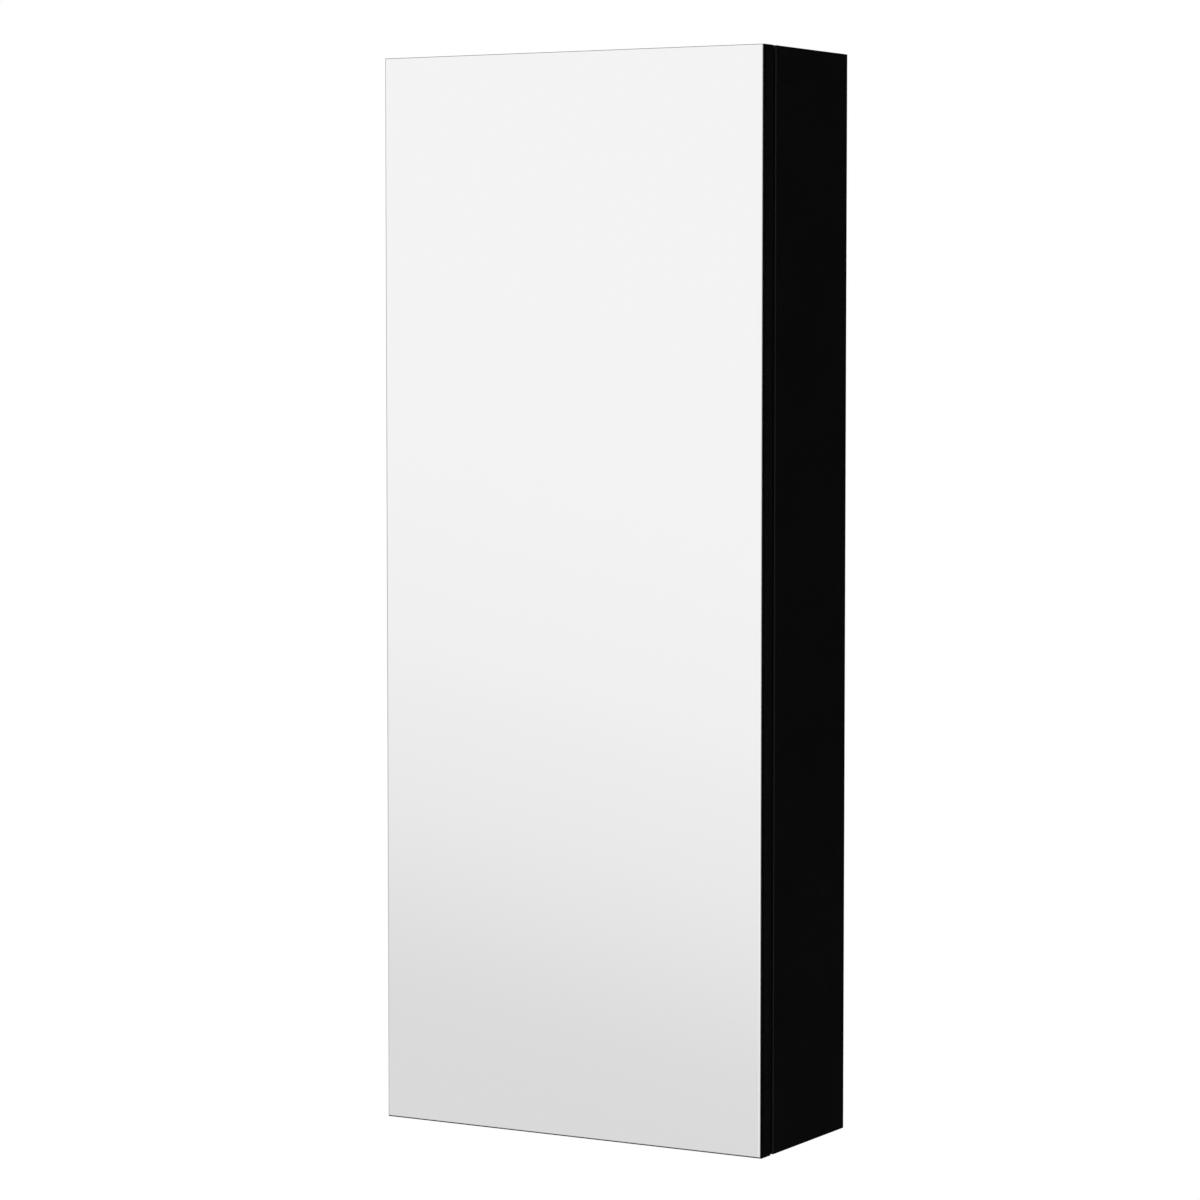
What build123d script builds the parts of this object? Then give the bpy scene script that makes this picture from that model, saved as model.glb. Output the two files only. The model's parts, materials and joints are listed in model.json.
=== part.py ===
from build123d import *
import os

os.makedirs("parts", exist_ok=True)

# The frame: origin in the middle of the wall plane at mid-height, X to the right,
# Y into the wall, Z up. The mirror faces -Y. All sizes are in millimetres.

# Overall size
WIDTH = 300.0
HEIGHT = 750.0
DEPTH = 125.0

# Board and glass thicknesses
PANEL = 16.0
BACK_PANEL = 3.0
DOOR_BOARD = 12.0
MIRROR = 4.0
ADHESIVE = 0.5
SHELF_GLASS = 5.0
CASE_BAND = 1.0
DOOR_BAND = 2.4

# Gap between the closed door and the case
DOOR_GAP = 2.0

# Mirror edge: rounded at the front, a small bevel at the back
PENCIL_RADIUS = 1.6
MIRROR_BEVEL = 0.4

# Small bevel on the outer corners of the edge bands
BAND_BEVEL = 0.4

# Bevel on the two upright back corners of the door: the hinge side swings clear of
# the case with it, and a fingertip finds it on the free side
DOOR_BEVEL = 2.0

# Mirror adhesive strips
STRIP_WIDTH = 20.0
STRIP_END = 12.0
STRIP_FROM_SIDE = 25.0

# Back panel groove and hanging rails
GROOVE_DEPTH = 3.0
RAIL_HEIGHT = 70.0
WALL_HOLE_RADIUS = 2.5
WALL_HOLE_FROM_SIDE = 60.0

# Corner joints: two dowels and one cam with its bolt in each corner
DOWEL_RADIUS = 4.0
DOWEL_IN_SIDE = 10.0
DOWEL_IN_END = 20.0
DOWEL_FROM_WALL = 38.0
DOWEL_FROM_FRONT = 17.5
RAIL_DOWEL_SPREAD = 20.0
CAM_SET_IN = 24.0
CAM_RADIUS = 7.5
CAM_DEPTH = 12.0
CAM_CAP = 1.0
CAM_BOLT_RADIUS = 3.0
CAM_BOLT_HEAD_RADIUS = 2.5
CAM_BOLT_IN_SIDE = 11.0
CAM_SLOT_WIDTH = 1.6
CAM_SLOT_LENGTH = 9.3
CAM_SLOT_DEPTH = 2.0

# Shelf holes, pins and pads
HOLE_PITCH = 32.0
SHELF_STEP_HOLES = 6
PIN_FROM_BACK = 13.0
PIN_FROM_FRONT = 15.0
PIN_RADIUS = 2.5
PIN_HOLE_DEPTH = 10.0
PIN_STEM = 8.0
PIN_PLATE = 1.5
PIN_PLATE_HEIGHT = 8.0
PIN_WIDTH = 10.0
PIN_TONGUE = 9.0
PIN_TONGUE_THICK = 2.0
PAD_THICK = 0.8
PAD_INSET = 1.0

# Glass shelves
SHELF_SIDE_GAP = 2.5
SHELF_BACK_GAP = 2.0
SHELF_DEPTH = 76.0
SHELF_BEVEL = 0.6
SHELF_CORNER = 3.0

# Hinges: two, the same distance from the ends of the door
HINGE_FROM_END = 100.0
CUP_RADIUS = 17.5
CUP_WALL = 0.8
CUP_DEPTH = 11.2
CUP_EDGE = 3.0
CUP_HOLE_SPARE = 0.1
FLANGE_THICK = 1.0
FLANGE_RADIUS = 19.0
FLANGE_TRIM = 4.2
EAR_OFFSET = 6.0
EAR_SPREAD = 24.0
EAR_RADIUS = 6.0
CUP_SCREW_RADIUS = 1.5
CUP_SCREW_HEAD_RADIUS = 3.4
CUP_SCREW_HEAD_THICK = 0.6
CUP_SCREW_LENGTH = 9.0

# The hinge pivot, from the door's outer edge and from the door's back face
PIVOT_FROM_EDGE = 7.5
PIVOT_DEPTH = 8.6
PIVOT_RADIUS = 1.0
PIVOT_CLEARANCE = 0.05
PIVOT_HALF_LENGTH = 9.2
EYE_RADIUS = 1.6

# Lugs inside the cup that hold the pivot pin's two ends
LUG_THICK = 2.0
LUG_EDGE_SIDE = 1.5
LUG_FREE_SIDE = 2.5
LUG_ABOVE_PIN = 2.0

# Hinge arm: one bent strip with two side flanges over the mounting plate
ARM_THICK = 1.8
ARM_HALF_WIDTH = 6.5
ARM_NECK_X = 18.0
ARM_WEB_X = 24.0
ARM_BEND_FRONT = 2.0
ARM_BEND_BACK = 11.0
ARM_END = 60.0
ARM_FLANGE_THICK = 0.8
ARM_FLANGE_FRONT = 13.0
ARM_FLANGE_GAP = 0.3
ARM_BEND_RADIUS = 1.2
ARM_SCREW_FRONT = 21.0
ARM_SCREW_BACK = 47.0
ARM_SCREW_RADIUS = 2.5
ARM_SCREW_HEAD_RADIUS = 4.2
ARM_SCREW_HEAD_THICK = 1.4
ARM_SLOT_LENGTH = 5.0

# Mounting plate on the inner face of the left side panel
PLATE_THICK = 2.0
PLATE_FRONT = 14.0
PLATE_BACK = 58.0
PLATE_HALF_WIDTH = 8.0
RAIL_HALF_WIDTH = 5.4
WING_LINE = 37.0
WING_HALF_DEPTH = 6.0
WING_SPREAD = 16.0
PLATE_SCREW_RADIUS = 2.5
PLATE_SCREW_LENGTH = 11.0
PLATE_SCREW_HEAD_RADIUS = 4.0
PLATE_SCREW_HEAD_THICK = 1.6

# Small pins, screws and their holes repeat often, so they are drawn with flats
PEG_SIDES = 12

# Magnetic catch under the top panel, near the free side of the door
CATCH_FROM_SIDE = 46.0
CATCH_WIDTH = 24.0
CATCH_HEIGHT = 13.0
CATCH_DEPTH = 24.0
CATCH_SET_BACK = 0.6
CATCH_EAR = 10.0
CATCH_EAR_THICK = 2.0
MAGNET_THICK = 4.0
MAGNET_SET_BACK = 0.8
POLE_THICK = 1.2
POLE_WIDTH = 20.0
POLE_DEPTH = 15.0
CATCH_STRIKE_GAP = 0.3
CATCH_SCREW_RADIUS = 1.5
CATCH_SCREW_HEAD_RADIUS = 3.0
CATCH_SCREW_HEAD_THICK = 1.2
CATCH_SCREW_LENGTH = 11.0
STRIKE_THICK = 1.0
STRIKE_WIDTH = 24.0
STRIKE_HEIGHT = 13.0
STRIKE_CORNER = 2.0
STRIKE_SCREW_HEAD_THICK = 0.8
STRIKE_SCREW_LENGTH = 9.0

# Door bumpers near the two free corners
BUMPER_RADIUS = 4.0
BUMPER_SPARE = 0.2
BUMPER_ROUND = 0.5
BUMPER_FROM_EDGE = 8.0
BUMPER_FROM_END = 23.0

# Worked out from the sizes above
DOOR_THICK = MIRROR + ADHESIVE + DOOR_BOARD
CASE_FRONT = -(DEPTH - DOOR_THICK - DOOR_GAP)
DOOR_BACK = CASE_FRONT - DOOR_GAP
BOARD_FRONT = DOOR_BACK - DOOR_BOARD
MIRROR_BACK = BOARD_FRONT - ADHESIVE
HALF_WIDTH = WIDTH / 2
HALF_HEIGHT = HEIGHT / 2
INNER_X = HALF_WIDTH - PANEL
INNER_Z = HALF_HEIGHT - PANEL
PANEL_FRONT = CASE_FRONT + CASE_BAND
SIDE_TOP = HALF_HEIGHT - CASE_BAND
BACK_REAR = -PANEL
BACK_FRONT = BACK_REAR - BACK_PANEL
RAIL_Z = INNER_Z - RAIL_HEIGHT / 2
CORNER_DOWEL_Y = (-DOWEL_FROM_WALL, PANEL_FRONT + DOWEL_FROM_FRONT)
CAM_Y = sum(CORNER_DOWEL_Y) / 2
WALL_HOLE_X = HALF_WIDTH - WALL_HOLE_FROM_SIDE
SHELF_BACK = BACK_FRONT - SHELF_BACK_GAP
SHELF_FRONT = SHELF_BACK - SHELF_DEPTH
PIN_ROWS_Y = (SHELF_BACK - PIN_FROM_BACK, SHELF_FRONT + PIN_FROM_FRONT)
SHELF_LEVELS = [row * SHELF_STEP_HOLES * HOLE_PITCH for row in (-1, 0, 1)]
HINGE_HEIGHT = HALF_HEIGHT - HINGE_FROM_END
CUP_X = -HALF_WIDTH + CUP_EDGE + CUP_RADIUS
PIVOT_X = -HALF_WIDTH + PIVOT_FROM_EDGE
PIVOT_Y = DOOR_BACK - PIVOT_DEPTH
CATCH_X = HALF_WIDTH - CATCH_FROM_SIDE
CATCH_TOP = INNER_Z
POLE_FRONT = DOOR_BACK + STRIKE_THICK + CATCH_STRIKE_GAP
CATCH_MIDDLE = CATCH_TOP - CATCH_HEIGHT / 2
BUMPER_HEIGHT = HALF_HEIGHT - BUMPER_FROM_END
STRIP_REACH = HALF_WIDTH - STRIP_FROM_SIDE
STRIP_ROWS = [row * STRIP_REACH / 3 for row in (-3, -1, 1, 3)]


def block(x_range, y_range, z_range):
    """A box between two values on each axis."""
    size = [abs(r[1] - r[0]) for r in (x_range, y_range, z_range)]
    middle = [(r[1] + r[0]) / 2 for r in (x_range, y_range, z_range)]
    return Pos(*middle) * Box(*size)


def rod_x(x_range, y, z, radius):
    """A cylinder along X."""
    length = abs(x_range[1] - x_range[0])
    middle = (x_range[0] + x_range[1]) / 2
    return Pos(middle, y, z) * Rot(0, 90, 0) * Cylinder(radius, length)


def rod_y(x, y_range, z, radius):
    """A cylinder along Y."""
    length = abs(y_range[1] - y_range[0])
    middle = (y_range[0] + y_range[1]) / 2
    return Pos(x, middle, z) * Rot(90, 0, 0) * Cylinder(radius, length)


def rod_z(x, y, z_range, radius):
    """A cylinder along Z."""
    length = abs(z_range[1] - z_range[0])
    middle = (z_range[0] + z_range[1]) / 2
    return Pos(x, y, middle) * Cylinder(radius, length)


def peg(radius, length):
    """A small rod along Z with flats, its middle at the origin."""
    return extrude(RegularPolygon(radius, PEG_SIDES), amount=length / 2, both=True)


def peg_x(x_range, y, z, radius):
    """A small rod with flats along X."""
    length = abs(x_range[1] - x_range[0])
    middle = (x_range[0] + x_range[1]) / 2
    return Pos(middle, y, z) * Rot(0, 90, 0) * peg(radius, length)


def peg_y(x, y_range, z, radius):
    """A small rod with flats along Y."""
    length = abs(y_range[1] - y_range[0])
    middle = (y_range[0] + y_range[1]) / 2
    return Pos(x, middle, z) * Rot(90, 0, 0) * peg(radius, length)


def peg_z(x, y, z_range, radius):
    """A small rod with flats along Z."""
    length = abs(z_range[1] - z_range[0])
    middle = (z_range[0] + z_range[1]) / 2
    return Pos(x, y, middle) * peg(radius, length)


def write(name, solids):
    """Each piece goes to its own file; several like pieces share one."""
    shape = solids if isinstance(solids, list) else [solids]
    pieces = [solid for item in shape for solid in item.solids()]
    group = pieces[0] if len(pieces) == 1 else Compound(children=pieces)
    group.label = name
    export_step(group, f"parts/{name}.step")


def pan_screw(radius, length, head_radius, head_thick):
    """A screw that points down -Z with its head's underside at Z = 0."""
    shank = Pos(0, 0, -length / 2) * peg(radius, length)
    head = Pos(0, 0, head_thick / 2) * peg(head_radius, head_thick)
    return shank + head


# Turns that point a screw along each direction it is driven
DRIVEN_TO_LEFT = Rot(0, 90, 0)
DRIVEN_UP = Rot(180, 0, 0)
DRIVEN_FORWARD = Rot(-90, 0, 0)

SIDES = (-1, 1)
HINGES = {"lower": -HINGE_HEIGHT, "upper": HINGE_HEIGHT}
HOLE_LEVELS = [level + step * HOLE_PITCH for level in SHELF_LEVELS for step in (-1, 0, 1)]
PLATE_SCREW_Y = CASE_FRONT + WING_LINE
PLATE_SCREW_Z = [z + side * WING_SPREAD for z in HINGES.values() for side in SIDES]
CATCH_SCREW_X = [CATCH_X + side * (CATCH_WIDTH + CATCH_EAR) / 2 for side in SIDES]


# Side panels: full height between their end bands, grooved for the back panel
def side_panel(side):
    inner = side * INNER_X
    outer = side * HALF_WIDTH
    panel = block((inner, outer), (0, PANEL_FRONT), (-SIDE_TOP, SIDE_TOP))
    grooved = (inner, inner + side * GROOVE_DEPTH)
    reach = INNER_Z + GROOVE_DEPTH
    panel -= block(grooved, (BACK_REAR, BACK_FRONT), (-reach, reach))
    for y in PIN_ROWS_Y:
        for z in HOLE_LEVELS:
            panel -= peg_x((inner, inner + side * PIN_HOLE_DEPTH), y, z, PIN_RADIUS)
    for end in SIDES:
        z = end * (HALF_HEIGHT - PANEL / 2)
        for y in CORNER_DOWEL_Y:
            panel -= peg_x((inner, inner + side * DOWEL_IN_SIDE), y, z, DOWEL_RADIUS)
        bolt = (inner, inner + side * CAM_BOLT_IN_SIDE)
        panel -= peg_x(bolt, CAM_Y, z, CAM_BOLT_HEAD_RADIUS)
        for step in SIDES:
            z = end * RAIL_Z + step * RAIL_DOWEL_SPREAD
            dowel = (inner, inner + side * DOWEL_IN_SIDE)
            panel -= peg_x(dowel, -PANEL / 2, z, DOWEL_RADIUS)
    if side < 0:
        for z in PLATE_SCREW_Z:
            hole = (inner, inner - PLATE_SCREW_LENGTH)
            panel -= peg_x(hole, PLATE_SCREW_Y, z, PLATE_SCREW_RADIUS)
    return panel


# Top and bottom panels: between the sides, with the cams let into the hidden faces
def end_panel(end):
    inner = end * INNER_Z
    outer = end * HALF_HEIGHT
    panel = block((-INNER_X, INNER_X), (0, PANEL_FRONT), (inner, outer))
    grooved = (inner, inner + end * GROOVE_DEPTH)
    panel -= block((-INNER_X, INNER_X), (BACK_REAR, BACK_FRONT), grooved)
    z = end * (HALF_HEIGHT - PANEL / 2)
    for side in SIDES:
        edge = side * INNER_X
        for y in CORNER_DOWEL_Y:
            panel -= peg_x((edge, edge - side * DOWEL_IN_END), y, z, DOWEL_RADIUS)
        panel -= peg_x((edge, edge - side * CAM_SET_IN), CAM_Y, z, CAM_BOLT_RADIUS)
        cam_x = edge - side * CAM_SET_IN
        cam = (outer, outer - end * (CAM_DEPTH + CAM_CAP))
        panel -= peg_z(cam_x, CAM_Y, cam, CAM_RADIUS)
    if end > 0:
        for x in CATCH_SCREW_X:
            hole = (inner, inner + CATCH_SCREW_LENGTH)
            y = CASE_FRONT + CATCH_SET_BACK + CATCH_DEPTH / 2
            panel -= peg_z(x, y, hole, CATCH_SCREW_RADIUS)
    return panel


write("left_side_panel", side_panel(-1))
write("right_side_panel", side_panel(1))
write("top_panel", end_panel(1))
write("bottom_panel", end_panel(-1))

# Back panel, held in the groove all round
back_x = INNER_X + GROOVE_DEPTH
back_z = INNER_Z + GROOVE_DEPTH
back = block((-back_x, back_x), (BACK_REAR, BACK_FRONT), (-back_z, back_z))
for end in SIDES:
    for side in SIDES:
        back -= rod_y(side * WALL_HOLE_X, (BACK_REAR, BACK_FRONT), end * RAIL_Z, WALL_HOLE_RADIUS)
write("back_panel", back)

# Hanging rails behind the back panel, flat against the wall
for name, end in (("upper_hanging_rail", 1), ("lower_hanging_rail", -1)):
    middle = end * RAIL_Z
    reach = RAIL_HEIGHT / 2
    rail = block((-INNER_X, INNER_X), (0, BACK_REAR), (middle - reach, middle + reach))
    for side in SIDES:
        rail -= rod_y(side * WALL_HOLE_X, (0, BACK_REAR), middle, WALL_HOLE_RADIUS)
        edge = side * INNER_X
        for step in SIDES:
            z = middle + step * RAIL_DOWEL_SPREAD
            rail -= peg_x((edge, edge - side * DOWEL_IN_END), -PANEL / 2, z, DOWEL_RADIUS)
    write(name, rail)

# Edge bands on the front edges of the four case panels
front_bands = []
for side in SIDES:
    x_range = (side * INNER_X, side * HALF_WIDTH)
    band = block(x_range, (PANEL_FRONT, CASE_FRONT), (-HALF_HEIGHT, HALF_HEIGHT))
    corner = band.edges().filter_by(Axis.Z).group_by(Axis.Y)[0]
    front_bands.append(chamfer(corner, BAND_BEVEL))
for end in SIDES:
    z_range = (end * INNER_Z, end * HALF_HEIGHT)
    front_bands.append(block((-INNER_X, INNER_X), (PANEL_FRONT, CASE_FRONT), z_range))
write("case_front_bands", front_bands)

# Edge bands on the top and bottom ends of the side panels
end_bands = []
for side in SIDES:
    for end in SIDES:
        x_range = (side * INNER_X, side * HALF_WIDTH)
        z_range = (end * SIDE_TOP, end * HALF_HEIGHT)
        end_bands.append(block(x_range, (0, PANEL_FRONT), z_range))
write("side_end_bands", end_bands)

# Dowels, cams, cam bolts and cam caps of the four corners, dowels of the rails
corner_dowels = []
rail_dowels = []
cams = []
cam_bolts = []
cam_caps = []
for side in SIDES:
    inner = side * INNER_X
    span = (inner + side * DOWEL_IN_SIDE, inner - side * DOWEL_IN_END)
    cam_x = inner - side * CAM_SET_IN
    for end in SIDES:
        z = end * (HALF_HEIGHT - PANEL / 2)
        for y in CORNER_DOWEL_Y:
            corner_dowels.append(peg_x(span, y, z, DOWEL_RADIUS))
        for step in SIDES:
            rail_z = end * RAIL_Z + step * RAIL_DOWEL_SPREAD
            rail_dowels.append(peg_x(span, -PANEL / 2, rail_z, DOWEL_RADIUS))
        outer = end * HALF_HEIGHT
        cap_inner = outer - end * CAM_CAP
        cam_floor = cap_inner - end * CAM_DEPTH
        bolt = peg_x((inner, inner + side * CAM_BOLT_IN_SIDE), CAM_Y, z, CAM_BOLT_HEAD_RADIUS)
        bolt += peg_x((inner, cam_x), CAM_Y, z, CAM_BOLT_RADIUS)
        cam_bolts.append(bolt)
        cam = peg_z(cam_x, CAM_Y, (cap_inner, cam_floor), CAM_RADIUS) - bolt
        slot_z = (cap_inner, cap_inner - end * CAM_SLOT_DEPTH)
        slot_x = (cam_x - CAM_SLOT_LENGTH / 2, cam_x + CAM_SLOT_LENGTH / 2)
        slot_y = (CAM_Y - CAM_SLOT_WIDTH / 2, CAM_Y + CAM_SLOT_WIDTH / 2)
        cams.append(cam - block(slot_x, slot_y, slot_z))
        cam_caps.append(peg_z(cam_x, CAM_Y, (outer, cap_inner), CAM_RADIUS))
write("corner_dowels", corner_dowels)
write("rail_dowels", rail_dowels)
write("cam_locks", cams)
write("cam_bolts", cam_bolts)
write("cam_caps", cam_caps)

# Shelf pins: a stem in the side panel, an upright plate and a tongue under the glass
pins = []
pads = []
for side in SIDES:
    inner = side * INNER_X
    plate_x = inner - side * PIN_PLATE
    tongue_x = plate_x - side * PIN_TONGUE
    for y in PIN_ROWS_Y:
        y_range = (y - PIN_WIDTH / 2, y + PIN_WIDTH / 2)
        for level in SHELF_LEVELS:
            top = level + PIN_TONGUE_THICK / 2
            bottom = level - PIN_TONGUE_THICK / 2
            pin = peg_x((plate_x, inner + side * PIN_STEM), y, level, PIN_RADIUS)
            plate_z = (top - PIN_PLATE_HEIGHT, top)
            pin += block((inner, plate_x), y_range, plate_z)
            pin += block((plate_x, tongue_x), y_range, (bottom, top))
            pins.append(pin)
            pad_x = (plate_x - side * PAD_INSET, tongue_x + side * PAD_INSET)
            pad_y = (y_range[0] + PAD_INSET, y_range[1] - PAD_INSET)
            pads.append(block(pad_x, pad_y, (top, top + PAD_THICK)))
write("shelf_pins", pins)
write("shelf_pads", pads)

# Glass shelves with rounded front corners and a ground bevel
shelf_half = INNER_X - SHELF_SIDE_GAP
for name, level in zip(("lower_shelf", "middle_shelf", "upper_shelf"), SHELF_LEVELS):
    underside = level + PIN_TONGUE_THICK / 2 + PAD_THICK
    z_range = (underside, underside + SHELF_GLASS)
    shelf = block((-shelf_half, shelf_half), (SHELF_BACK, SHELF_FRONT), z_range)
    corners = shelf.edges().filter_by(Axis.Z).group_by(Axis.Y)[0]
    shelf = fillet(corners, SHELF_CORNER)
    long_edges = shelf.edges().filter_by(Axis.X).group_by(Axis.Y)[0]
    write(name, chamfer(long_edges, SHELF_BEVEL))


# Hinge arm. Its outline is drawn from the side panel's outer face and the case front,
# then placed: first value to the right, second towards the wall.
def placed(points):
    return [(x - HALF_WIDTH, y + CASE_FRONT) for x, y in points]


PIVOT_ALONG = PIVOT_Y - CASE_FRONT
NECK_LOW = PIVOT_ALONG - EYE_RADIUS
NECK_HIGH = NECK_LOW + ARM_THICK


def hinge_arm(middle):
    outline = placed(
        [
            (PIVOT_FROM_EDGE, NECK_LOW),
            (ARM_NECK_X + ARM_THICK, NECK_LOW),
            (ARM_NECK_X + ARM_THICK, ARM_BEND_FRONT),
            (ARM_WEB_X + ARM_THICK, ARM_BEND_BACK - ARM_THICK),
            (ARM_WEB_X + ARM_THICK, ARM_END),
            (ARM_WEB_X, ARM_END),
            (ARM_WEB_X, ARM_BEND_BACK),
            (ARM_NECK_X, ARM_BEND_FRONT + ARM_THICK),
            (ARM_NECK_X, NECK_HIGH),
            (PIVOT_FROM_EDGE, NECK_HIGH),
        ]
    )
    face = make_face(Polyline(*outline, close=True))
    bends = [v for v in face.vertices() if outline_bend(v)]
    face = fillet(bends, ARM_BEND_RADIUS)
    strip = extrude(face, amount=2 * ARM_HALF_WIDTH)
    strip = Pos(0, 0, middle - ARM_HALF_WIDTH) * strip
    across = (middle - ARM_HALF_WIDTH, middle + ARM_HALF_WIDTH)
    arm = strip + rod_z(PIVOT_X, PIVOT_Y, across, EYE_RADIUS)
    arm -= rod_z(PIVOT_X, PIVOT_Y, across, PIVOT_RADIUS + PIVOT_CLEARANCE)
    web_x = -HALF_WIDTH + ARM_WEB_X
    foot_x = -INNER_X + PLATE_THICK + ARM_FLANGE_GAP
    y_range = (CASE_FRONT + ARM_FLANGE_FRONT, CASE_FRONT + ARM_END)
    for side in SIDES:
        outer = middle + side * ARM_HALF_WIDTH
        arm += block((foot_x, web_x), y_range, (outer, outer - side * ARM_FLANGE_THICK))
    hole_x = (web_x, web_x + ARM_THICK)
    arm -= peg_x(hole_x, CASE_FRONT + ARM_SCREW_FRONT, middle, ARM_SCREW_RADIUS)
    back_y = CASE_FRONT + ARM_SCREW_BACK
    for y in (back_y, back_y + ARM_SLOT_LENGTH):
        arm -= peg_x(hole_x, y, middle, ARM_SCREW_RADIUS)
    slot_z = (middle - ARM_SCREW_RADIUS, middle + ARM_SCREW_RADIUS)
    arm -= block(hole_x, (back_y, back_y + ARM_SLOT_LENGTH), slot_z)
    return arm


def outline_bend(vertex):
    """True at the corners where the arm's strip bends, not at its two ends."""
    past_eye = vertex.X > PIVOT_X + EYE_RADIUS
    before_end = vertex.Y < CASE_FRONT + ARM_END - ARM_THICK
    return past_eye and before_end


# Mounting plate: a base with two wings and a rail that carries the arm
def mounting_plate(middle):
    base_x = (-INNER_X, -INNER_X + PLATE_THICK)
    y_range = (CASE_FRONT + PLATE_FRONT, CASE_FRONT + PLATE_BACK)
    width = (middle - PLATE_HALF_WIDTH, middle + PLATE_HALF_WIDTH)
    plate = block(base_x, y_range, width)
    wing_y = (PLATE_SCREW_Y - WING_HALF_DEPTH, PLATE_SCREW_Y + WING_HALF_DEPTH)
    plate += block(base_x, wing_y, (middle - WING_SPREAD, middle + WING_SPREAD))
    for side in SIDES:
        plate += rod_x(base_x, PLATE_SCREW_Y, middle + side * WING_SPREAD, WING_HALF_DEPTH)
    rail_x = (base_x[1], -HALF_WIDTH + ARM_WEB_X)
    rail_z = (middle - RAIL_HALF_WIDTH, middle + RAIL_HALF_WIDTH)
    plate += block(rail_x, y_range, rail_z)
    for side in SIDES:
        plate -= peg_x(base_x, PLATE_SCREW_Y, middle + side * WING_SPREAD, PLATE_SCREW_RADIUS)
    for y in (ARM_SCREW_FRONT, ARM_SCREW_BACK):
        plate -= peg_x(rail_x, CASE_FRONT + y, middle, ARM_SCREW_RADIUS)
    return plate


# Hinge cup: a round cup in the door board with a flange and two screw ears. The
# flange is cut back on the edge side, where the cup swings past the case.
def hinge_cup(middle):
    floor = DOOR_BACK - CUP_DEPTH
    top = DOOR_BACK + FLANGE_THICK
    flange = rod_y(CUP_X, (DOOR_BACK, top), middle, FLANGE_RADIUS)
    ear_x = CUP_X + EAR_OFFSET
    flange += block(
        (ear_x - EAR_RADIUS, ear_x + EAR_RADIUS),
        (DOOR_BACK, top),
        (middle - EAR_SPREAD, middle + EAR_SPREAD),
    )
    for side in SIDES:
        flange += rod_y(ear_x, (DOOR_BACK, top), middle + side * EAR_SPREAD, EAR_RADIUS)
    trimmed = (-HALF_WIDTH, -HALF_WIDTH + FLANGE_TRIM)
    flange -= block(trimmed, (DOOR_BACK, top), (middle - FLANGE_RADIUS, middle + FLANGE_RADIUS))
    cup = rod_y(CUP_X, (floor, DOOR_BACK), middle, CUP_RADIUS) + flange
    cup -= rod_y(CUP_X, (floor + CUP_WALL, top), middle, CUP_RADIUS - CUP_WALL)
    for side in SIDES:
        outer = middle + side * PIVOT_HALF_LENGTH
        cup += block(
            (PIVOT_X - LUG_EDGE_SIDE, PIVOT_X + LUG_FREE_SIDE),
            (floor, PIVOT_Y + LUG_ABOVE_PIN),
            (outer, outer - side * LUG_THICK),
        )
    half = (middle - PIVOT_HALF_LENGTH, middle + PIVOT_HALF_LENGTH)
    cup -= rod_z(PIVOT_X, PIVOT_Y, half, PIVOT_RADIUS)
    for side in SIDES:
        cup -= peg_y(ear_x, (DOOR_BACK, top), middle + side * EAR_SPREAD, CUP_SCREW_RADIUS)
    return cup


plate_screws = []
adjusting_screws = []
fixing_screws = []
cup_screws = []
pivot_pins = []
web_front = -HALF_WIDTH + ARM_WEB_X + ARM_THICK
arm_screw_length = ARM_WEB_X + ARM_THICK - PANEL - PLATE_THICK
for name, middle in HINGES.items():
    write(f"{name}_mounting_plate", mounting_plate(middle))
    write(f"{name}_hinge_arm", hinge_arm(middle))
    write(f"{name}_hinge_cup", hinge_cup(middle))
    half = (middle - PIVOT_HALF_LENGTH, middle + PIVOT_HALF_LENGTH)
    pivot_pins.append(rod_z(PIVOT_X, PIVOT_Y, half, PIVOT_RADIUS))
    for y, group in ((ARM_SCREW_FRONT, adjusting_screws), (ARM_SCREW_BACK, fixing_screws)):
        screw = pan_screw(ARM_SCREW_RADIUS, arm_screw_length, ARM_SCREW_HEAD_RADIUS, ARM_SCREW_HEAD_THICK)
        group.append(Pos(web_front, CASE_FRONT + y, middle) * DRIVEN_TO_LEFT * screw)
    for side in SIDES:
        screw = pan_screw(
            PLATE_SCREW_RADIUS,
            PLATE_SCREW_LENGTH + PLATE_THICK,
            PLATE_SCREW_HEAD_RADIUS,
            PLATE_SCREW_HEAD_THICK,
        )
        spot = Pos(-INNER_X + PLATE_THICK, PLATE_SCREW_Y, middle + side * WING_SPREAD)
        plate_screws.append(spot * DRIVEN_TO_LEFT * screw)
        screw = pan_screw(
            CUP_SCREW_RADIUS,
            CUP_SCREW_LENGTH + FLANGE_THICK,
            CUP_SCREW_HEAD_RADIUS,
            CUP_SCREW_HEAD_THICK,
        )
        spot = Pos(CUP_X + EAR_OFFSET, DOOR_BACK + FLANGE_THICK, middle + side * EAR_SPREAD)
        cup_screws.append(spot * DRIVEN_FORWARD * screw)
write("plate_screws", plate_screws)
write("arm_adjusting_screws", adjusting_screws)
write("arm_fixing_screws", fixing_screws)
write("cup_screws", cup_screws)
write("pivot_pins", pivot_pins)

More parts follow.
